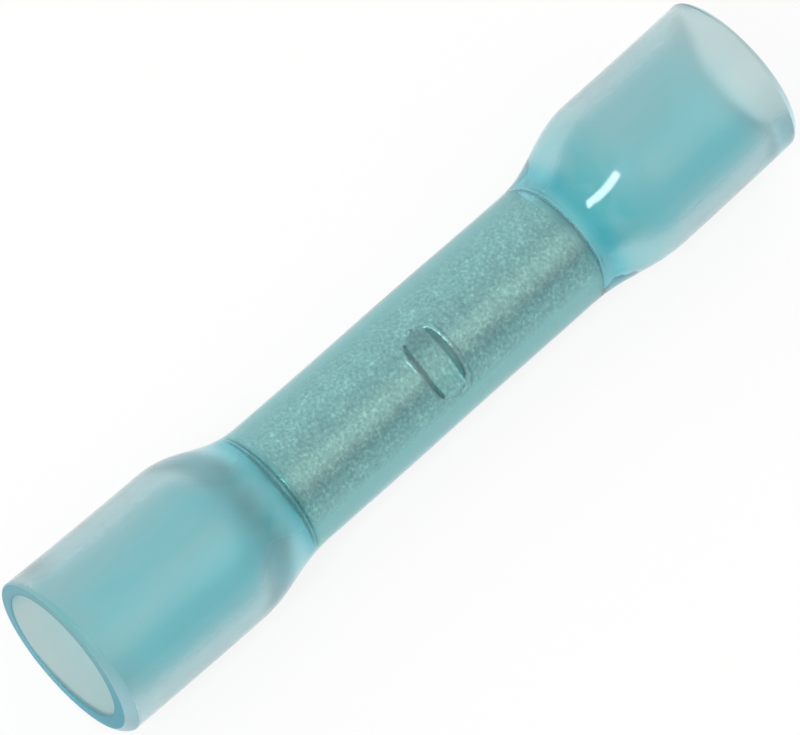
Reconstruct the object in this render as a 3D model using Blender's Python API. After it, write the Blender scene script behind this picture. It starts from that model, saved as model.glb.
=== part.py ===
"""Adhesive-lined heat-shrink butt splice for two wires, before crimping.

A tinned crimp barrel lies in the middle of a translucent blue sleeve. The sleeve is a jacket with
a bonded hot-melt liner. Its middle is shrunk onto the barrel, and both ends stay wide open.

The splice lies along X with its underside at Z = 0 and its middle at X = 0. All sizes are metres.
"""
import math

import bpy

MM = 0.001

# Crimp barrel: a straight tube with a pressed stop at mid-length
BARREL_LENGTH = 15.0 * MM
BARREL_OUTER_DIAMETER = 3.4 * MM
BARREL_WALL = 0.55 * MM
BARREL_EDGE_BEVEL = 0.28 * MM
BARREL_LEAD_IN = 0.2 * MM

# Grip grooves turned in each half of the bore
GROOVES_PER_HALF = 3
GROOVE_PITCH = 1.3 * MM
GROOVE_WIDTH = 0.5 * MM
GROOVE_DEPTH = 0.08 * MM
FIRST_GROOVE_FROM_END = 2.0 * MM

# Wire stop: a flat-nosed punch pressed into one side of the barrel
STOP_LENGTH_ALONG = 1.5 * MM
STOP_DEPTH = 0.5 * MM
STOP_SIDE_SLOPE = 0.26 * MM
STOP_TURN = math.radians(31.0)

# Sleeve: open ends, and a middle sized from the barrel outwards
SLEEVE_LENGTH = 33.5 * MM
FLARE_OUTER_DIAMETER = 6.8 * MM
JACKET_FLARE_WALL = 0.4 * MM
JACKET_MIDDLE_WALL = 0.47 * MM
LINER_FLARE_WALL = 0.32 * MM
LINER_MIDDLE_WALL = 0.38 * MM
BOND_GAP = 0.02 * MM
SHRINK_GAP = 0.04 * MM
LIP_ROUND = 0.27 * MM
INNER_LIP_ROUND = 0.08 * MM
NECK_LENGTH = 4.5 * MM
NECK_PAST_BARREL = 1.2 * MM

# The sleeve shrank lying down, with the barrel in its lowest place and its soft underside on a tray
UNDERSIDE_STEP = 0.15 * MM
MOUTH_PITCH = math.radians(5.0)
SEAT_DEPTH = 0.07 * MM

# Facets
SIDES = 44
NECK_RINGS = 9
FLARE_RINGS = 3
LIP_RINGS = 3
STOP_SIDES = 18
BACK_SIDES = 22
STOP_HALF_ANGLE = math.radians(54.0)
STOP_RINGS = 17
SMOOTH_ANGLE = math.radians(32.0)

# Sizes that follow from the driving ones
BARREL_RADIUS = BARREL_OUTER_DIAMETER / 2
BORE_RADIUS = BARREL_RADIUS - BARREL_WALL
FLARE_RADIUS = FLARE_OUTER_DIAMETER / 2
LINER_BORE_MIDDLE = BARREL_RADIUS + SHRINK_GAP
LINER_SKIN_MIDDLE = LINER_BORE_MIDDLE + LINER_MIDDLE_WALL
JACKET_BORE_MIDDLE = LINER_SKIN_MIDDLE + BOND_GAP
MIDDLE_RADIUS = JACKET_BORE_MIDDLE + JACKET_MIDDLE_WALL
JACKET_BORE_FLARE = FLARE_RADIUS - JACKET_FLARE_WALL
LINER_SKIN_FLARE = JACKET_BORE_FLARE - BOND_GAP
LINER_BORE_FLARE = LINER_SKIN_FLARE - LINER_FLARE_WALL
FLARE_LIFT = FLARE_RADIUS - MIDDLE_RADIUS - UNDERSIDE_STEP
NECK_CENTRE = BARREL_LENGTH / 2 + NECK_PAST_BARREL
NECK_START = NECK_CENTRE - NECK_LENGTH / 2
NECK_END = NECK_CENTRE + NECK_LENGTH / 2
MOUTH = SLEEVE_LENGTH / 2
BEND_RATE = math.tan(MOUTH_PITCH) / (2 * (MOUTH - NECK_START))


def eased(share):
    """Zero at 0, one at 1, with level, uncurved ends."""
    share = min(max(share, 0.0), 1.0)
    return share ** 3 * (share * (6 * share - 15) + 10)


def opening_share(x):
    """How far the sleeve has opened at x: 0 along the shrunk middle, 1 in the open ends."""
    return eased((abs(x) - NECK_START) / NECK_LENGTH)


def axis_height(x):
    """Height of the sleeve's axis over the barrel's axis at x.

    The open ends sit higher by the lift, and from each neck outwards the axis also rises as a
    parabola that reaches the mouth's pitch at the mouth.
    """
    past_neck = max(abs(x) - NECK_START, 0.0)
    return FLARE_LIFT * opening_share(x) + BEND_RATE * past_neck ** 2


def axis_pitch(x):
    """Slope angle of the parabola at x, rising towards +X on the +X side."""
    past_neck = max(abs(x) - NECK_START, 0.0)
    return math.copysign(math.atan(2 * BEND_RATE * past_neck), x)


def underside(x):
    """Height of the sleeve's lowest line at x over the barrel's axis."""
    radius = MIDDLE_RADIUS + (FLARE_RADIUS - MIDDLE_RADIUS) * opening_share(x)
    return axis_height(x) - radius


def half_stations(end):
    """Places along one half of the sleeve, from the start of the neck to the given end."""
    neck = [NECK_START + NECK_LENGTH * i / NECK_RINGS for i in range(NECK_RINGS + 1)]
    flare = [NECK_END + (end - NECK_END) * i / FLARE_RINGS for i in range(1, FLARE_RINGS + 1)]
    return neck + flare


# The splice lies on the lowest stretch of the sleeve, which the tray made flat
BARREL_AXIS_HEIGHT = -min(underside(x) for x in half_stations(MOUTH - LIP_ROUND)) - SEAT_DEPTH


def sleeve_ring(x, radius):
    """A circle round the sleeve's axis at x, square to the bent axis and flat where it would reach
    below the tray."""
    pitch = axis_pitch(x)
    centre_z = BARREL_AXIS_HEIGHT + axis_height(x)
    ring = []
    for side in range(SIDES):
        angle = 2 * math.pi * side / SIDES
        across = radius * math.cos(angle)
        upright = radius * math.sin(angle)
        height = max(centre_z + upright * math.cos(pitch), 0.0)
        ring.append((x - upright * math.sin(pitch), across, height))
    return ring


def middle_to_flare(middle, flare):
    """A radius that goes from its middle value to its open-end value through the necks."""
    return lambda x: middle + (flare - middle) * opening_share(x)


def surface_profile(radius_at, end):
    """(x, radius) pairs of one surface of the sleeve, from the -X end to the +X end."""
    places = half_stations(end)
    along = [-x for x in reversed(places)] + places
    return [(x, radius_at(x)) for x in along]


def rounded_edge(radius, round_radius, inward):
    """(x, radius) pairs that round the +X edge of a wall, ending on its flat cut face."""
    pairs = []
    for step in range(1, LIP_RINGS + 1):
        angle = 0.5 * math.pi * step / LIP_RINGS
        x = MOUTH - round_radius * (1 - math.sin(angle))
        pairs.append((x, radius - inward * round_radius * (1 - math.cos(angle))))
    return pairs


def mirrored(pairs):
    """The same pairs at the -X end, in reverse order."""
    return [(-x, radius) for x, radius in reversed(pairs)]


def skin(name, rings, material):
    """Close a loop of rings into one solid wall: each ring is bridged to the next."""
    count = len(rings[0])
    vertices = [point for ring in rings for point in ring]
    faces = []
    for index in range(len(rings)):
        here = index * count
        there = (index + 1) % len(rings) * count
        for side in range(count):
            turn = (side + 1) % count
            faces.append((here + side, here + turn, there + turn, there + side))
    mesh = bpy.data.meshes.new(name)
    mesh.from_pydata(vertices, [], faces)
    mesh.validate()
    mesh.shade_smooth()
    mesh.set_sharp_from_angle(angle=SMOOTH_ANGLE)
    mesh.materials.append(material)
    solid = bpy.data.objects.new(name, mesh)
    bpy.context.scene.collection.objects.link(solid)
    return solid


def plain_material(name, colour, roughness, metallic, transmission=0.0):
    """One Principled surface."""
    material = bpy.data.materials.new(name)
    material.use_nodes = True
    shader = material.node_tree.nodes["Principled BSDF"]
    shader.inputs["Base Color"].default_value = (*colour, 1.0)
    shader.inputs["Roughness"].default_value = roughness
    shader.inputs["Metallic"].default_value = metallic
    shader.inputs["Transmission Weight"].default_value = transmission
    return material


def make_jacket():
    """Outer tube: rounded outside at the mouths, flat cut faces, bore for the liner."""
    outside = middle_to_flare(MIDDLE_RADIUS, FLARE_RADIUS)
    inside = middle_to_flare(JACKET_BORE_MIDDLE, JACKET_BORE_FLARE)
    edge = rounded_edge(FLARE_RADIUS, LIP_ROUND, 1)
    outer = mirrored(edge) + surface_profile(outside, MOUTH - LIP_ROUND) + edge
    inner = surface_profile(inside, MOUTH)
    rings = [sleeve_ring(x, radius) for x, radius in outer + inner[::-1]]
    blue = plain_material("blue_shrink_plastic", (0.16, 0.50, 0.56), 0.28, 0.0, 0.6)
    return skin("heat_shrink_sleeve", rings, blue)


def make_liner():
    """Hot-melt lining: follows the jacket's bore and holds the barrel in its middle."""
    outside = middle_to_flare(LINER_SKIN_MIDDLE, LINER_SKIN_FLARE)
    inside = middle_to_flare(LINER_BORE_MIDDLE, LINER_BORE_FLARE)
    edge = rounded_edge(LINER_BORE_FLARE, INNER_LIP_ROUND, -1)
    outer = surface_profile(outside, MOUTH)
    inner = mirrored(edge) + surface_profile(inside, MOUTH - INNER_LIP_ROUND) + edge
    rings = [sleeve_ring(x, radius) for x, radius in outer + inner[::-1]]
    glue = plain_material("hot_melt_adhesive", (0.20, 0.46, 0.53), 0.4, 0.0, 0.5)
    return skin("adhesive_liner", rings, glue)


def barrel_angles():
    """Angles round the barrel from the stop's middle, closer together across the stop."""
    front = [STOP_HALF_ANGLE * (2 * i / STOP_SIDES - 1) for i in range(STOP_SIDES)]
    rest = 2 * (math.pi - STOP_HALF_ANGLE)
    back = [STOP_HALF_ANGLE + rest * i / BACK_SIDES for i in range(BACK_SIDES)]
    return front + back


def pressed_in(x, angle):
    """How far the punch pushes the barrel's wall inwards at (x, angle from the stop's middle).

    The punch's nose is flat, so it cuts deepest at the stop's middle and runs out where the round
    wall falls away below it. Across the punch's length the depth ends in two sloped sides, which
    draw together towards the run-out.
    """
    nose = BARREL_RADIUS - STOP_DEPTH
    if math.cos(angle) * BARREL_RADIUS <= nose:
        return 0.0
    depth = BARREL_RADIUS - nose / math.cos(angle)
    run_out = math.acos(nose / BARREL_RADIUS)
    corner = (1 - (abs(angle) / run_out) ** 4) ** 0.25
    half_length = STOP_LENGTH_ALONG / 2 * corner
    return depth * eased((half_length - abs(x)) / STOP_SIDE_SLOPE)


def barrel_ring(x, radius, pressed):
    """A circle round the barrel at x, pushed in by the punch where pressed is true."""
    ring = []
    for angle in barrel_angles():
        reach = radius - (pressed_in(x, angle) if pressed else 0.0)
        bearing = angle + STOP_TURN
        ring.append((x, -reach * math.sin(bearing), BARREL_AXIS_HEIGHT + reach * math.cos(bearing)))
    return ring


def stop_places():
    """Places along the barrel across the stop."""
    reach = STOP_LENGTH_ALONG / 2
    return [reach * (2 * i / (STOP_RINGS - 1) - 1) for i in range(STOP_RINGS)]


def groove_profile():
    """(x, radius) pairs of the grip grooves in the bore's +X half, from the middle outwards."""
    pairs = []
    for index in reversed(range(GROOVES_PER_HALF)):
        centre = BARREL_LENGTH / 2 - FIRST_GROOVE_FROM_END - index * GROOVE_PITCH
        pairs.append((centre - GROOVE_WIDTH / 2, BORE_RADIUS))
        pairs.append((centre, BORE_RADIUS + GROOVE_DEPTH))
        pairs.append((centre + GROOVE_WIDTH / 2, BORE_RADIUS))
    return pairs


def make_barrel():
    """Crimp barrel: bevelled outside edges, lead-in and grooves in the bore, pressed stop."""
    half = BARREL_LENGTH / 2
    outer_end = [(half - BARREL_EDGE_BEVEL, BARREL_RADIUS), (half, BARREL_RADIUS - BARREL_EDGE_BEVEL)]
    inner_end = [(half - BARREL_LEAD_IN, BORE_RADIUS), (half, BORE_RADIUS + BARREL_LEAD_IN)]
    grooves = groove_profile()
    rings = [barrel_ring(x, radius, False) for x, radius in mirrored(outer_end)]
    rings += [barrel_ring(x, BARREL_RADIUS, True) for x in stop_places()]
    rings += [barrel_ring(x, radius, False) for x, radius in outer_end]
    rings += [barrel_ring(x, radius, False) for x, radius in reversed(grooves + inner_end)]
    rings += [barrel_ring(x, BORE_RADIUS, True) for x in reversed(stop_places())]
    rings += [barrel_ring(-x, radius, False) for x, radius in grooves + inner_end]
    tin = plain_material("tinned_copper", (0.62, 0.64, 0.62), 0.35, 1.0)
    return skin("crimp_barrel", rings, tin)


for old in list(bpy.data.objects):
    bpy.data.objects.remove(old, do_unlink=True)

make_jacket()
make_liner()
make_barrel()
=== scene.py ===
"""The looks of an adhesive-lined heat-shrink butt splice lying on a pale table.

The splice lies along X. Lengths are metres. The sleeve's jacket and its bonded liner are one clear
wall here, because light crosses their bond without seeing it. Along the middle the melted liner
wets the barrel: its surface lies a hair inside the metal's, so light goes from one straight to the
other.
"""

import math

import bpy
import numpy as np
from mathutils import Matrix, Vector


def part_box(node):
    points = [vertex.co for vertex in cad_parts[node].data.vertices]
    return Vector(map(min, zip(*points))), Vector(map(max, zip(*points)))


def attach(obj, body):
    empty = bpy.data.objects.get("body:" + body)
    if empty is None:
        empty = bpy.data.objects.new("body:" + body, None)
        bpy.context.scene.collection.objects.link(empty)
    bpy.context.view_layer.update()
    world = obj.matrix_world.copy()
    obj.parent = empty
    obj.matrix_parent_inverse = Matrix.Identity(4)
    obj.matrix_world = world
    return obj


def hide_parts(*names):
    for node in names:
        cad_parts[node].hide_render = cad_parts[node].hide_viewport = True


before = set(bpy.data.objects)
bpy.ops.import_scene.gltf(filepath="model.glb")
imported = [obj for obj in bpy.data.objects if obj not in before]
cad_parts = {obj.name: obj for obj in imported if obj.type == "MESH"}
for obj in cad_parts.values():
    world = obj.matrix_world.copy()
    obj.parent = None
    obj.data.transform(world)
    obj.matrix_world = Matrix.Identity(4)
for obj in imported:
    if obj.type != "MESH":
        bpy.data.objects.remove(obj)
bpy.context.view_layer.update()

MM = 0.001

# Sleeve. Its outside lies inside the solids' flat facets by FACET_SAG.
SLEEVE_LENGTH = 33.5 * MM
FLARE_RADIUS = 3.4 * MM
MIDDLE_RADIUS = 2.61 * MM
WALL_FLARE = 0.74 * MM
NECK_START = 6.45 * MM
NECK_LENGTH = 4.5 * MM
NECK_DRIFT = 0.19 * MM
UNDERSIDE_STEP = 0.15 * MM
MOUTH_PITCH = math.radians(5.0)
SURFACE_RIPPLE = 0.012 * MM
RIPPLE_LENGTH = 7 * MM
FACET_SAG = 0.012 * MM
MOUTH = SLEEVE_LENGTH / 2
FLARE_LIFT = FLARE_RADIUS - MIDDLE_RADIUS - UNDERSIDE_STEP
BEND_RATE = math.tan(MOUTH_PITCH) / (2 * (MOUTH - NECK_START))

# The cut rim: its outer edge is blunted most on the -Y side, where the wall is thickest
LIP_BLUNT = 0.2 * MM
LIP_UNEVEN = 0.16 * MM
LIP_UNDERSIDE = 0.11 * MM
LIP_POWER = 1.4
INNER_LIP_ROUND = 0.05 * MM
BORE_SHIFT = 0.2 * MM
BORE_SHIFT_REACH = 2.0 * MM

# Barrel, which the sleeve gripped a little towards its +X end
BARREL_RADIUS = 1.7 * MM
BORE_RADIUS = 1.15 * MM
BARREL_LENGTH = 15.0 * MM
BARREL_BEVEL = 0.28 * MM
BARREL_DRIFT = 0.27 * MM
AXIS_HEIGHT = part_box("crimp_barrel")[1].z - BARREL_RADIUS

# The stop's mark: the punch reached PUNCH_REACH into the barrel and the wall sprang partly back
STOP_LENGTH = 1.5 * MM
STOP_DEPTH = 0.4 * MM
STOP_SLOPE = 0.26 * MM
STOP_TURN = math.radians(31.0)
PUNCH_REACH = 0.5 * MM
STOP_RUN_OUT = math.acos(1 - PUNCH_REACH / BARREL_RADIUS)
SHALLOWEST_MARK = 0.02 * MM
BURR_PLACE = -0.1
BURR_REACH = 0.09

# Melted liner: against the barrel, and in a bead just past each of the barrel's ends
CONTACT_DEPTH = 0.01 * MM
BEAD_DEPTH = 0.11 * MM
BEAD_PLACE = -0.03 * MM
BEAD_REACH = 0.12 * MM
BORE_OPENS_FROM = 0.15 * MM

# Rows and columns of the sleeve's mesh, closest in the bore's bead and over the stop
SLEEVE_COLUMNS = 204
OUTSIDE_ROWS = 54
ROUNDING_ROWS = 10
FLAT_RIM_ROWS = [0.02, 0.3, 0.7, 1.0]
OPEN_BORE_ROWS = 42
OPEN_BORE_EVENNESS = 0.15
BEAD_ROWS = 50
BEAD_ROWS_FROM = 7.1 * MM
BEAD_ROWS_TO = 8.6 * MM
HELD_BORE_ROWS = 6
SLEEVE_STOP_ROWS = 44
SLEEVE_BESIDE_ROWS = 12
STOP_ROWS_REACH = 1.1 * MM

# Rows and columns of the barrel's mesh
BARREL_COLUMNS = 200
BARREL_STOP_ROWS = 89
BARREL_BESIDE_ROWS = 24
BARREL_EDGE_ROWS = 7

# Shares that mark an end's five parts: outside, rounded lip, flat rim, inner edge and bore.
# RIM_MARK is just enough to tell the rim's rows from the others.
RIM_MARK = 0.01
DEPTH_SHARES = [0.0, 0.0, 1.0, 1.0, 1.0]
LIP_SHARES = [0.0, 1.0, RIM_MARK, RIM_MARK, 0.0]
INNER_EDGE_SHARES = [0.0, 0.0, 0.0, 1.0, 0.0]

# Where the plastic's tints lie along the sleeve, from the barrel's middle or from the mouth
GATHERED_FROM = 8.8 * MM
GATHERED_REACH = 1.9 * MM
RING_PLACE = 7.65 * MM
RING_REACH = 0.4 * MM
MOUTH_REACH = 3.5 * MM

# Plastic
PLASTIC_IOR = 1.48
PLASTIC_TINT = (0.72, 0.90, 0.92, 1)
PLASTIC_DENSITY = 1.0 / MM
PLASTIC_CLEARNESS = 0.92
JACKET_OPEN = (0.95, 0.98, 0.98, 1)
JACKET_SHRUNK = (0.50, 0.86, 0.92, 1)
JACKET_NECK = (0.78, 0.96, 0.96, 1)
JACKET_RING = (0.22, 0.76, 0.84, 1)
# The open liner's blue by Y: deeper on the -Y side, painted shade for the splice's own shadow seen
# through the wall, and paler on the +Y side, painted light
LINER_OPEN_SHADED_SIDE = (0.13, 0.62, 0.675, 1)
LINER_OPEN_LIT_SIDE = (0.29, 0.62, 0.64, 1)
# Greyer liner near the mouths and at their sides: partly painted shade of the splice's shadow on
# the table, seen through one wall, and partly the milky plastic's own grey
LINER_GREY_AND_SHADE_AT_MOUTH = (0.38, 0.49, 0.48, 1)
LINER_GREY_AND_SHADE_AT_TIPS = (0.45, 0.545, 0.53, 1)
LINER_MELTED = (0.94, 1.0, 1.0, 1)
LINER_GATHERED = (0.02, 0.54, 0.58, 1)
BLOTS = [(0.40, (0.55, 0.55, 0.55)), (0.62, (1, 1, 1))]
SIDE_TO_SIDE = [(0.2, (0, 0, 0)), (0.8, (1, 1, 1))]

# Cut rim. It glows with a little painted light at its +X end and under its -X lip, and the top of
# its +X lip takes a paler lit copy of the blue, also painted light
RIM_CLEARNESS = 0.4
RIM_BLUE_NEAR = (0.02, 0.36, 0.475, 1)
RIM_BLUE_FAR = (0.14, 0.47, 0.57, 1)
RIM_TOP = (0.13, 0.44, 0.48, 1)
# A dark blue along the rim's inner edge, at a small share: painted shade
RIM_INNER_EDGE_SHADE = (0.03, 0.12, 0.16, 1)
INNER_EDGE_SHADE_SHARE = 0.14
LIP_TOP_NEAR = (0.21, 0.53, 0.54, 1)
LIP_TOP_FAR_LIT = (0.50, 0.64, 0.63, 1)
LIP_PALE = (0.41, 0.63, 0.69, 1)
RIM_PAINTED_GLOW = (0.26, 0.31, 0.32, 1)
NO_GLOW = (0, 0, 0, 1)
NEAR_LIT = 0.9
FLAT_LIT = 0.3
TOP_UNLIT = 0.8

# Tin
# Pale plain tin below the axis and on the +Y side: painted light along the barrel's two sides
TIN_PAINTED_PALE = (0.82, 0.78, 0.70, 1)
TIN_WALL = (0.60, 1.0, 1.0, 1)
PAINTED_PALE_BELOW = [(0.5, (0.9, 0.9, 0.9)), (0.62, (0.18, 0.18, 0.18)), (0.72, (0, 0, 0))]
TIN_GRAIN = [(0.34, (0.40, 0.40, 0.37)), (0.54, (0.66, 0.62, 0.54)), (0.68, (1.0, 0.92, 0.74))]

# Fineness of each pattern, in waves to the metre
CLOUD = 260.0
BLOT = 700.0
STREAK = 900.0
SCRATCH = 5000.0
GRAIN = 7500.0
PATCH = 1800.0

# The streaks run lengthwise, and the border between the open liner's two blues, painted shade on
# the
# -Y side and painted light on the +Y side, wanders with them
STREAK_STRETCH = (0.2, 1, 1)
STREAK_WANDER = 1.8

# Table and room: the sky by height, then from -Y to +Y, with its brightest part like a window
TABLE_REACH = 1.2
TABLE_WHITE = (0.86, 0.86, 0.86, 1)
TABLE_OWN_LIGHT = 0.85
WHITE = (1, 1, 1, 1)
SKY_LEVEL = [(0.0, (0.80, 0.80, 0.82)), (0.6, (0.75, 0.75, 0.75))]
SKY_FRONT = (0.63, 0.63, 0.65, 1)
SKY_BACK = (1.62, 1.62, 1.62, 1)
WINDOW_DIRECTION = (0.29, -0.52, 0.80)
WINDOW_EDGE = [(0.86, (0, 0, 0)), (0.99, (1, 1, 1))]
WINDOW_COLOUR = (1.6, 1.46, 1.34, 1)

# Strip softbox
STRIP_DIRECTION = (-0.646, -0.167, 0.745)
STRIP_DISTANCE = 0.3
STRIP_WIDTH = 0.05
STRIP_LENGTH = 0.115
STRIP_POWER = 0.28

# Camera, turned as the photograph shows the splice
CAMERA_ELEVATION = math.radians(65.25)
CAMERA_TURN = math.radians(44.1)
CAMERA_DISTANCE = 138.1 * MM
PIXELS_PER_METRE = 27.62 / MM
AIM_RIGHT = -0.45 * MM
AIM_UP = 0.04 * MM
PHOTO_WIDTH = 800
SENSOR = 36.0


class Value:
    """A number socket of a node tree, so that shader maths reads as an expression."""

    def __init__(self, finish, socket):
        self.finish = finish
        self.socket = socket

    def maths(self, operation, *others):
        """A maths node with this number first."""
        sockets = dict(enumerate([self, *others]))
        return self.finish.value("ShaderNodeMath", {"operation": operation}, sockets)

    def __add__(self, other):
        return self.maths("ADD", other)

    __radd__ = __add__

    def __sub__(self, other):
        return self.maths("SUBTRACT", other)

    def __rsub__(self, other):
        return (self * -1.0) + other

    def __mul__(self, other):
        return self.maths("MULTIPLY", other)

    __rmul__ = __mul__

    def __pow__(self, other):
        return self.maths("POWER", other)


class Finish:
    """One material or world tree. Every node that isn't plain maths comes from node()."""

    def __init__(self, owner):
        owner.use_nodes = True
        self.owner = owner
        self.tree = owner.node_tree
        self.tree.nodes.clear()

    def node(self, kind, settings=None, sockets=None):
        """A node of the given kind: each socket takes a plain value or another socket."""
        made = self.tree.nodes.new(kind)
        for name, setting in (settings or {}).items():
            if name == "stops":
                self.set_stops(made.color_ramp, setting)
            else:
                setattr(made, name, setting)
        for name, source in (sockets or {}).items():
            target = made.inputs[name]
            if isinstance(source, Value):
                source = source.socket
            if isinstance(source, bpy.types.NodeSocket):
                self.tree.links.new(source, target)
            else:
                target.default_value = source
        return made

    def value(self, kind, settings=None, sockets=None, output=0):
        """A node's output as a number for maths."""
        return Value(self, self.node(kind, settings, sockets).outputs[output])

    @staticmethod
    def set_stops(ramp, stops):
        """Give a colour ramp its places and colours."""
        while len(ramp.elements) < len(stops):
            ramp.elements.new(0.5)
        for element, (place, colour) in zip(ramp.elements, stops):
            element.position = place
            element.color = (*colour, 1.0)

    def place(self):
        """The place on the splice, in metres."""
        return self.node("ShaderNodeTexCoord").outputs["Object"]

    def noise(self, where, scale, detail=2.0, roughness=0.5):
        """Cloudy noise from 0 to 1."""
        sockets = {"Vector": where, "Scale": scale, "Detail": detail, "Roughness": roughness}
        return self.value("ShaderNodeTexNoise", {"noise_dimensions": "3D"}, sockets, "Fac")

    def ramp(self, factor, stops):
        """The colour at a number's place between the stops."""
        return self.node("ShaderNodeValToRGB", {"stops": stops}, {"Fac": factor}).outputs["Color"]

    def mix(self, factor, first, second, blend="MIX"):
        """The first colour at factor 0, and the second or its blend with the first at 1."""
        settings = {"data_type": "RGBA", "blend_type": blend}
        made = self.node("ShaderNodeMix", settings, {"Factor": factor, 6: first, 7: second})
        return made.outputs[2]

    def bump(self, height, strength, distance):
        """The normal of a surface roughened by a height."""
        sockets = {"Height": height, "Strength": strength, "Distance": distance}
        return self.node("ShaderNodeBump", None, sockets).outputs["Normal"]

    def axis(self, vector, name):
        """One of the three numbers of a vector."""
        return self.value("ShaderNodeSeparateXYZ", None, {"Vector": vector}, name)

    def layer(self, name):
        """One of the numbers that a mesh keeps for each of its points."""
        return self.value("ShaderNodeAttribute", {"attribute_name": name}, None, "Fac")

    def close(self, surface, tint=None, density=0.0):
        """Join the surface, and the tint that its inside takes with depth, to the output."""
        ends = {"Surface": surface.outputs[0]}
        if tint:
            sockets = {"Color": tint, "Density": density}
            ends["Volume"] = self.node("ShaderNodeVolumeAbsorption", None, sockets).outputs[0]
        self.node("ShaderNodeOutputMaterial", None, ends)
        return self.owner


def eased(share):
    """Quintic ease: 0 up to share 0, 1 from share 1, level at both ends."""
    share = np.clip(share, 0.0, 1.0)
    return share ** 3 * (share * (6 * share - 15) + 10)


def bell(distance, reach):
    """1 at no distance, falling off on both sides as e to the minus square of distance / reach."""
    return np.exp(-((distance / reach) ** 2))


def past_neck(x):
    """How far x lies past the start of its neck, and 0 along the middle."""
    return np.maximum(np.abs(x - NECK_DRIFT) - NECK_START, 0.0)


def opening_share(x):
    """0 along the shrunk middle, 1 in the open ends, by the quintic ease along the neck."""
    return eased(past_neck(x) / NECK_LENGTH)


def bore_line(x):
    """Radius of the bore along the sleeve, without the rim's rounding.

    The melted liner lies against the barrel. Just past the barrel's end it stands inward in a bead,
    a bell curve, and from there the radius follows the quintic ease out to the open end's bore.
    """
    past = np.abs(x - BARREL_DRIFT) - BARREL_LENGTH / 2
    reach = NECK_START + NECK_LENGTH - BARREL_LENGTH / 2 - BORE_OPENS_FROM
    opening = eased((past - BORE_OPENS_FROM) / reach)
    held = BARREL_RADIUS - CONTACT_DEPTH
    bead = BEAD_DEPTH * bell(past - BEAD_PLACE, BEAD_REACH)
    return held + (FLARE_RADIUS - WALL_FLARE - held) * opening - bead


def around_axis(x, radius, bearing):
    """Points at a radius and bearing round the sleeve's bent axis.

    The axis is the barrel's axis, lifted by the opening share and by a parabola past each neck,
    and each circle is square to the parabola. Bearing 0 is +Y and a quarter turn is up. Nothing
    reaches below the table: z = max(z, 0).
    """
    past = past_neck(x)
    height = AXIS_HEIGHT + FLARE_LIFT * opening_share(x) + BEND_RATE * past ** 2
    pitch = np.sign(x) * np.arctan(2 * BEND_RATE * past)
    upright = radius * np.sin(bearing)
    across = radius * np.cos(bearing) + 0 * x
    z = np.maximum(height + upright * np.cos(pitch), 0.0)
    return np.stack([x - upright * np.sin(pitch), across, z], -1)


def placed(name, data):
    """A new object of the scene, at the origin."""
    made = bpy.data.objects.new(name, data)
    bpy.context.scene.collection.objects.link(made)
    return made


def closed_wall(name, points, finishes, rim_rows=(), **layers):
    """A mesh from a grid of points that closes in both directions, like the skin of a ring.

    Each layer is one number for each point, kept on the mesh for its finish to read. The rows
    named as rim rows take the second finish.
    """
    rows, columns = points.shape[:2]
    index = np.arange(rows * columns).reshape(rows, columns)
    ahead = np.roll(index, -1, 0)
    corners = np.stack([index, np.roll(index, -1, 1), np.roll(ahead, -1, 1), ahead], -1)
    mesh = bpy.data.meshes.new(name)
    mesh.from_pydata(points.reshape(-1, 3), [], corners.reshape(-1, 4))
    mesh.shade_smooth()
    for finish in finishes:
        mesh.materials.append(finish)
    chosen = np.zeros((rows, columns), np.int32)
    chosen[list(rim_rows)] = 1
    mesh.polygons.foreach_set("material_index", chosen.ravel())
    for layer, numbers in layers.items():
        kept = mesh.attributes.new(layer, "FLOAT", "POINT")
        kept.data.foreach_set("value", np.broadcast_to(numbers, (rows, columns)).ravel())
    return placed(name, mesh)


def ripple(x, bearing):
    """Small unevenness of the shrunk plastic: a sum of slow waves, from -1 to 1."""
    along = x / RIPPLE_LENGTH
    waves = np.sin(2.1 * along + 2 * bearing) + np.sin(3.7 * along - 3 * bearing + 1.3)
    return (waves + np.sin(5.3 * along + bearing + 0.4)) / 3


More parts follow.
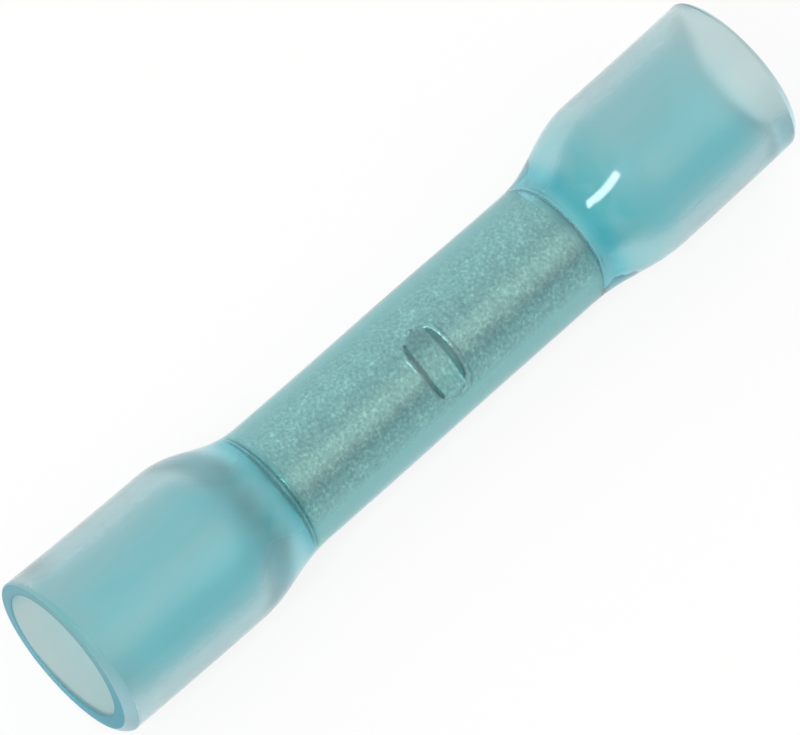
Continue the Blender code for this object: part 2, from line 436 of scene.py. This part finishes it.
def sleeve_end(side, bearing):
    """One end's stations, from the middle along the outside and back along the bore.

    Round the rim the outer edge is a superellipse u ** p + v ** p = 1 with p = LIP_POWER, whose
    size varies with the bearing, and the inner edge is a quarter circle. Near the mouth the bore
    shifts sideways. The shares say which of the end's five parts each station belongs to. The
    outside's last station counts as lip, and the flat rim's last as inner edge.
    """
    blunt = LIP_BLUNT - LIP_UNEVEN * np.cos(bearing)
    blunt = blunt + LIP_UNDERSIDE * np.maximum(-np.sin(bearing), 0) ** 2
    shift = BORE_SHIFT * np.cos(bearing)
    start = NECK_DRIFT + side * NECK_START
    turn = np.linspace(0, math.pi / 2, ROUNDING_ROWS)[1:, None]

    along = np.linspace(0, 1, OUTSIDE_ROWS)[:, None]
    outer_x = start + (side * (MOUTH - blunt) - start) * along
    middle = MIDDLE_RADIUS - SURFACE_RIPPLE
    flare = FLARE_RADIUS - SURFACE_RIPPLE - FACET_SAG
    outer = middle + (flare - middle) * opening_share(outer_x)
    outer = outer + SURFACE_RIPPLE * ripple(outer_x, bearing)

    lip_x = side * (MOUTH - blunt * (1 - np.sin(turn) ** (2 / LIP_POWER)))
    lip = outer[-1:] - blunt * (1 - np.cos(turn) ** (2 / LIP_POWER))

    bore_mouth = FLARE_RADIUS - WALL_FLARE + shift
    across = np.array(FLAT_RIM_ROWS)[:, None]
    rim = lip[-1:] + (bore_mouth + INNER_LIP_ROUND - lip[-1:]) * across
    rim_x = np.full_like(rim, side * MOUTH)

    edge_x = side * (MOUTH - INNER_LIP_ROUND * (1 - np.cos(turn)))
    edge = bore_mouth + INNER_LIP_ROUND * (1 - np.sin(turn))

    spread = np.linspace(1, 0, OPEN_BORE_ROWS)[1:]
    spread = spread * (OPEN_BORE_EVENNESS + (1 - OPEN_BORE_EVENNESS) * spread)
    wide = BEAD_ROWS_TO + (MOUTH - INNER_LIP_ROUND - BEAD_ROWS_TO) * spread
    close = np.linspace(BEAD_ROWS_TO, BEAD_ROWS_FROM, BEAD_ROWS)[1:]
    held = np.linspace(BEAD_ROWS_FROM, side * start, HELD_BORE_ROWS)[1:]
    bore_x = side * np.concatenate([wide, close, held])[:, None]
    near_mouth = eased(1 - (MOUTH - np.abs(bore_x)) / BORE_SHIFT_REACH)
    bore = bore_line(bore_x) + shift * near_mouth

    places = [outer_x, lip_x, rim_x, edge_x, bore_x]
    radii = [outer, lip, rim, edge, bore]
    width = bearing.shape[1]
    x, radius = [
        np.concatenate([np.broadcast_to(part, (len(part), width)) for part in parts])
        for parts in (places, radii)
    ]
    counts = [len(part) for part in radii]
    depth = np.repeat(DEPTH_SHARES, counts)
    lip_share = np.repeat(LIP_SHARES, counts)
    lip_share[counts[0] - 1] = 1.0
    inner_edge = np.repeat(INNER_EDGE_SHARES, counts)
    inner_edge[sum(counts[:3]) - 1] = 1.0
    return x, radius, depth[:, None], lip_share[:, None], inner_edge[:, None]


def sleeve_middle(radius, depth, bearing):
    """The middle's stations between the two necks, from -X to +X, closest over the stop.

    The outside, at depth 0, ripples, and the bore, at depth 1, follows the stop's mark.
    """
    around = np.linspace(-STOP_ROWS_REACH, STOP_ROWS_REACH, SLEEVE_STOP_ROWS)
    beside = np.linspace(STOP_ROWS_REACH, NECK_START, SLEEVE_BESIDE_ROWS)[1:-1]
    x = NECK_DRIFT + np.concatenate([-beside[::-1], around, beside])[:, None]
    x = np.repeat(x, bearing.shape[1], 1)
    uneven = SURFACE_RIPPLE * ripple(x, bearing) * (1 - depth) - sunk_liner(x, bearing) * depth
    plain = np.zeros((len(x), 1))
    return x, radius + uneven, plain + float(depth), plain, plain


def make_sleeve():
    """The sleeve's wall: a closed loop of stations, outside, cut rim and bore at each end.

    The layers are bell curves and eases of the distance from the barrel's middle or the mouth, and
    powers of the bearing's sine and cosine. The mouth layer faces up at the +X end and down at the
    -X end, and there greys the liner, partly as painted shade. The lit layer places the cut rim's
    painted light.
    """
    bearing = np.linspace(0, 2 * math.pi, SLEEVE_COLUMNS, endpoint=False)[None, :]
    far = sleeve_end(1, bearing)
    near = [part[::-1] for part in sleeve_end(-1, bearing)]
    bore = [part[::-1] for part in sleeve_middle(BARREL_RADIUS - CONTACT_DEPTH, 1, bearing)]
    outside = sleeve_middle(MIDDLE_RADIUS - SURFACE_RIPPLE, 0, bearing)
    loop = zip(far, bore, near, outside)
    x, radius, depth, lip_share, inner_edge = [np.concatenate(parts) for parts in loop]
    on_rim = np.minimum(lip_share, np.roll(lip_share, -1, 0))[:, 0] > 0

    from_middle = np.abs(x - BARREL_DRIFT)
    facing = eased(0.5 + 1.2 * np.sign(x) * np.sin(bearing))
    under = np.maximum(-np.sin(bearing), 0)
    return closed_wall(
        "shrink_sleeve",
        around_axis(x, radius, bearing),
        [blue_plastic(), cut_rim()],
        np.flatnonzero(on_rim),
        depth=depth,
        opened=opening_share(x),
        gathered=eased(1 - np.abs((from_middle - GATHERED_FROM) / GATHERED_REACH)),
        mouth=eased(1 - (MOUTH - np.abs(x)) / MOUTH_REACH) * facing,
        ring=bell(from_middle - RING_PLACE, RING_REACH),
        lip=lip_share,
        sideways=1 - np.maximum(np.sin(bearing), 0) ** 2,
        tips=np.cos(bearing) ** 4,
        lit=np.where(x > 0, 1.0, NEAR_LIT * lip_share * under),
        inner_edge=inner_edge,
    )


def stop_edge(x, angle):
    """1 in the middle of the stop's mark, 0 on its edge and less outside.

    The edge is the superellipse (2x / length) ** 4 + (angle / run out) ** 4 = 1.
    """
    return 1 - ((2 * x / STOP_LENGTH) ** 4 + (angle / STOP_RUN_OUT) ** 4) ** 0.25


def pressed_in(x, angle):
    """Depth of the flat-nosed punch's mark at a place along and an angle from the stop's middle.

    The floor is the plane of the punch's nose, radius - nose / cos(angle). It eases out along the
    two sides of the superellipse, and past the plane's own edge the wall stands up in a low burr.
    """
    nose = BARREL_RADIUS - STOP_DEPTH
    inside = np.clip(np.abs(angle) / STOP_RUN_OUT, 0, 1)
    depth = np.where(inside < 1, BARREL_RADIUS - nose / np.cos(inside * STOP_RUN_OUT), 0.0)
    half_length = STOP_LENGTH / 2 * (1 - inside ** 4) ** 0.25
    return depth * eased((half_length - np.abs(x)) / STOP_SLOPE)


def sunk_liner(x, bearing):
    """How far the melted liner sank into the stop's mark, which it fills: the mark's own depth,
    and the contact depth more from the mark's edge inwards."""
    angle = np.mod(bearing - math.pi / 2 - STOP_TURN + math.pi, 2 * math.pi) - math.pi
    inside = stop_edge(x - BARREL_DRIFT, angle)
    return pressed_in(x - BARREL_DRIFT, angle) + CONTACT_DEPTH * eased(4 * inside)


def make_barrel():
    """The crimp barrel: a tube with rounded ends and the punch's mark in both of its surfaces.

    Each end rounds by a quarter circle. The wall layer is 4s(1 - s) times the root of d: s is the
    mark's depth as a share of the deepest at its angle, and d is that deepest as a share of the
    stop's depth. The burr layer is a bell curve beside the mark.
    """
    angle = np.linspace(-math.pi, math.pi, BARREL_COLUMNS, endpoint=False)[None, :]
    half = BARREL_LENGTH / 2
    coarse = np.linspace(STOP_ROWS_REACH, half - BARREL_BEVEL, BARREL_BESIDE_ROWS)
    fine = np.linspace(-STOP_ROWS_REACH, STOP_ROWS_REACH, BARREL_STOP_ROWS)[1:-1]
    straight = np.concatenate([-coarse[::-1], fine, coarse])
    turn = np.linspace(0, math.pi / 2, BARREL_EDGE_ROWS)[1:]
    edge_x = half - BARREL_BEVEL * (1 - np.sin(turn))
    edge_drop = BARREL_BEVEL * (1 - np.cos(turn))
    x = np.concatenate([-edge_x[::-1], straight, edge_x])[:, None]
    drop = np.concatenate([edge_drop[::-1], np.zeros_like(straight), edge_drop])[:, None]
    mark = pressed_in(x, angle)
    radius = np.concatenate([BARREL_RADIUS - drop - mark, (BORE_RADIUS + drop - mark)[::-1]])
    x = np.broadcast_to(np.concatenate([x, x[::-1]]), radius.shape)
    bearing = angle + STOP_TURN
    points = np.stack([x, -radius * np.sin(bearing), AXIS_HEIGHT + radius * np.cos(bearing)], -1)
    points[..., 0] += BARREL_DRIFT
    deepest = mark.max(0)
    share = mark / np.maximum(deepest, SHALLOWEST_MARK)
    wall = 4 * share * (1 - share) * (deepest / STOP_DEPTH) ** 0.5
    wall = np.concatenate([wall, wall[::-1]])
    burr = bell(stop_edge(x, angle) - BURR_PLACE, BURR_REACH)
    return closed_wall("barrel_tube", points, [grained_tin()], burr=burr, wall=wall)


def blue_plastic():
    """Shrink plastic: a nearly clear jacket over a liner that holds most of the blue.

    The liner melted clear along the shrunk middle, and gathered deep blue in the necks beside the
    barrel's ends. In the open ends it is still rough. There its blue is deeper on the -Y side and
    paler on the +Y side, painted shade and painted light for the splice's own shadow seen through
    the wall. Near the mouths it turns greyer, partly painted shade and partly the plastic's own
    grey.
    """
    finish = Finish(bpy.data.materials.new("blue_shrink_plastic"))
    where = finish.place()
    cloud = finish.noise(where, CLOUD, 3.0)
    depth = finish.layer("depth")
    opened = finish.layer("opened")
    ring = finish.layer("ring")
    in_neck = finish.layer("gathered")

    jacket = finish.mix(opened, JACKET_SHRUNK, JACKET_OPEN)
    jacket = finish.mix(in_neck, jacket, JACKET_NECK)
    jacket = finish.mix(ring, jacket, JACKET_RING)

    sockets = {"Vector": where, "Scale": STREAK_STRETCH}
    lengthwise = finish.node("ShaderNodeMapping", None, sockets)
    streak = finish.noise(lengthwise.outputs[0], STREAK, 3.0)
    side = finish.axis(where, "Y") * (0.5 / FLARE_RADIUS) + 0.5 + (streak - 0.5) * STREAK_WANDER
    side = finish.ramp(side, SIDE_TO_SIDE)
    # Near the mouths the liner greys: partly painted shade, partly the plastic's own grey
    mouth_grey_and_shade = finish.mix(finish.layer("tips"), LINER_GREY_AND_SHADE_AT_MOUTH, LINER_GREY_AND_SHADE_AT_TIPS)
    blots = finish.ramp(finish.noise(where, BLOT, 1.0), BLOTS)
    # Painted shade and light: deeper blue on the -Y side, paler on the +Y side
    liner = finish.mix(side, LINER_OPEN_SHADED_SIDE, LINER_OPEN_LIT_SIDE)
    liner = finish.mix(finish.layer("mouth"), liner, mouth_grey_and_shade)
    liner = finish.mix(opened, LINER_MELTED, liner)
    liner = finish.mix(in_neck * Value(finish, blots), liner, LINER_GATHERED)

    liner_rougher = 0.22 - 0.02 * opened + 0.15 * ring
    sockets = {
        "Base Color": finish.mix(depth, jacket, liner),
        "Roughness": 0.04 + 0.04 * cloud + 0.06 * opened + depth * liner_rougher,
        "IOR": PLASTIC_IOR,
        "Transmission Weight": PLASTIC_CLEARNESS,
        "Normal": finish.bump(cloud, 0.12, 0.04 * MM),
    }
    shader = finish.node("ShaderNodeBsdfPrincipled", None, sockets)
    return finish.close(shader, PLASTIC_TINT, PLASTIC_DENSITY)


def cut_rim():
    """The sawn rim of the sleeve, matt, where the wall's own blue collects.

    The flat rim goes from one blue to another across Y and is paler at the top, and so is the lip.
    Its emission is painted light, a glow at the +X end and under the -X lip. A little dark blue
    along the flat rim's inner edge is painted shade.
    """
    finish = Finish(bpy.data.materials.new("cut_rim"))
    where = finish.place()
    scratch = finish.noise(where, SCRATCH, 2.0)
    sideways = finish.layer("sideways")
    lip = finish.layer("lip")
    lit = finish.layer("lit")
    side = finish.axis(where, "Y") * (0.5 / FLARE_RADIUS) + 0.5
    flat = finish.mix(sideways, RIM_TOP, finish.mix(side, RIM_BLUE_NEAR, RIM_BLUE_FAR))
    # Painted shade: a little dark blue along the inner edge
    flat = finish.mix(finish.layer("inner_edge") * INNER_EDGE_SHADE_SHARE, flat, RIM_INNER_EDGE_SHADE)
    # At the top, the +X end's lip takes the paler, lit copy: painted light
    rounded = finish.mix(sideways, finish.mix(lit, LIP_TOP_NEAR, LIP_TOP_FAR_LIT), LIP_PALE)
    # Painted light: how strongly the rim glows, at the +X end and under the -X lip
    painted_glow = lit * (FLAT_LIT + lip * (1.0 - FLAT_LIT - TOP_UNLIT * (1.0 - sideways)))
    sockets = {
        "Base Color": finish.mix(lip, flat, rounded),
        "Roughness": 0.35 + 0.2 * scratch,
        "IOR": PLASTIC_IOR,
        "Transmission Weight": RIM_CLEARNESS,
        "Emission Color": finish.mix(painted_glow, NO_GLOW, RIM_PAINTED_GLOW),
        "Emission Strength": 1.0,
        "Normal": finish.bump(scratch, 0.2, 0.02 * MM),
    }
    shader = finish.node("ShaderNodeBsdfPrincipled", None, sockets)
    return finish.close(shader, PLASTIC_TINT, PLASTIC_DENSITY)


def grained_tin():
    """Satin tin plate: a fine bright and dark grain, plain and pale below the axis and on the +Y
    side: painted light.
    """
    finish = Finish(bpy.data.materials.new("grained_tin"))
    where = finish.place()
    grain = finish.noise(where, GRAIN, 3.0, 0.6)
    patch = finish.noise(where, PATCH, 3.0)
    tin = finish.ramp(grain * 0.75 + patch * 0.25, TIN_GRAIN)
    # Painted light: plain pale tin on the +Y side and from below the axis up
    painted_light_far_side = (finish.axis(where, "Y") * (1 / BARREL_RADIUS)).maths("MAXIMUM", 0.0) ** 4
    height = (finish.axis(where, "Z") - AXIS_HEIGHT) * (0.5 / BARREL_RADIUS) + 0.5
    beside = Value(finish, finish.ramp(height, PAINTED_PALE_BELOW)) + painted_light_far_side
    tin = finish.mix(beside, tin, TIN_PAINTED_PALE)
    relief = grain + 0.8 * patch + 1.3 * finish.layer("burr")
    sockets = {
        "Base Color": finish.mix(finish.layer("wall"), tin, TIN_WALL),
        "Metallic": 1.0,
        "Roughness": 0.25 + 0.12 * patch,
        "Normal": finish.bump(relief, 0.6, 0.03 * MM),
    }
    return finish.close(finish.node("ShaderNodeBsdfPrincipled", None, sockets))


def table_finish():
    """White table that keeps a soft shadow: part of its light is its own for the camera."""
    finish = Finish(bpy.data.materials.new("white_table"))
    path = finish.node("ShaderNodeLightPath").outputs
    seen = Value(finish, path["Is Camera Ray"]) + Value(finish, path["Is Glossy Ray"])
    seen = seen + Value(finish, path["Is Transmission Ray"])
    lit = finish.node("ShaderNodeBsdfDiffuse", None, {"Color": TABLE_WHITE})
    own = finish.node("ShaderNodeEmission", None, {"Color": WHITE, "Strength": 1.0})
    sockets = {"Fac": seen * TABLE_OWN_LIGHT, 1: lit.outputs[0], 2: own.outputs[0]}
    return finish.close(finish.node("ShaderNodeMixShader", None, sockets))


def make_table():
    """A flat square under the splice, with its middle at the splice's."""
    mesh = bpy.data.meshes.new("table")
    far = TABLE_REACH
    corners = [(-far, -far, 0), (far, -far, 0), (far, far, 0), (-far, far, 0)]
    mesh.from_pydata(corners, [], [(0, 1, 2, 3)])
    mesh.materials.append(table_finish())
    placed("table", mesh)


def light_room():
    """Soft light from all round, stronger from +Y, and white where the camera sees it."""
    world = bpy.data.worlds.new("soft_room")
    bpy.context.scene.world = world
    finish = Finish(world)
    direction = finish.node("ShaderNodeTexCoord").outputs["Generated"]
    level = finish.ramp(finish.axis(direction, "Z"), SKY_LEVEL)
    sky = finish.mix(finish.axis(direction, "Y") * 0.5 + 0.5, SKY_FRONT, SKY_BACK)
    sky = finish.mix(1.0, level, sky, "MULTIPLY")
    towards = {0: direction, 1: WINDOW_DIRECTION}
    towards = finish.value("ShaderNodeVectorMath", {"operation": "DOT_PRODUCT"}, towards, "Value")
    sky = finish.mix(finish.ramp(towards, WINDOW_EDGE), sky, WINDOW_COLOUR)
    path = finish.node("ShaderNodeLightPath").outputs
    shade = finish.mix(path["Is Camera Ray"], sky, WHITE)
    glow = finish.node("ShaderNodeBackground", None, {"Color": shade, "Strength": 1.0})
    finish.node("ShaderNodeOutputWorld", None, {"Surface": glow.outputs[0]})


def strip_light():
    """One strip softbox overhead, across the splice, a little towards its near end."""
    light = bpy.data.lights.new("strip_softbox", "AREA")
    light.shape = "RECTANGLE"
    light.size = STRIP_WIDTH
    light.size_y = STRIP_LENGTH
    light.energy = STRIP_POWER
    lamp = placed("strip_softbox", light)
    direction = Vector(STRIP_DIRECTION)
    turned = direction.to_track_quat("Z", "Y").to_matrix().to_4x4()
    lamp.matrix_world = Matrix.Translation(direction * STRIP_DISTANCE) @ turned


def set_camera():
    """A camera with no shift, at the photograph's angle and distance."""
    right = Vector((math.cos(CAMERA_TURN), -math.sin(CAMERA_TURN), 0))
    level = Vector((math.sin(CAMERA_TURN), math.cos(CAMERA_TURN), 0))
    ahead = level * math.cos(CAMERA_ELEVATION) - Vector((0, 0, math.sin(CAMERA_ELEVATION)))
    up = right.cross(ahead)
    lens = bpy.data.cameras.new("camera")
    lens.sensor_width = SENSOR
    lens.lens = PIXELS_PER_METRE * CAMERA_DISTANCE * SENSOR / PHOTO_WIDTH
    lens.clip_start = 0.01
    lens.clip_end = 5.0
    camera = placed("camera", lens)
    aim = Vector((0, 0, AXIS_HEIGHT)) + right * AIM_RIGHT + up * AIM_UP
    turned = Matrix((right, up, -ahead)).transposed().to_4x4()
    camera.matrix_world = Matrix.Translation(aim - ahead * CAMERA_DISTANCE) @ turned
    bpy.context.scene.camera = camera


def dress(piece, slot, *nodes):
    """Give a piece its body and hide the nodes that it stands for. The slot is not used."""
    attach(piece, "root")
    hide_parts(*nodes)


dress(make_sleeve(), "blue_jacket", "heat_shrink_sleeve", "adhesive_liner")
dress(make_barrel(), "tinned_copper", "crimp_barrel")
make_table()
light_room()
strip_light()
set_camera()

bpy.context.scene.view_settings.view_transform = "Standard"
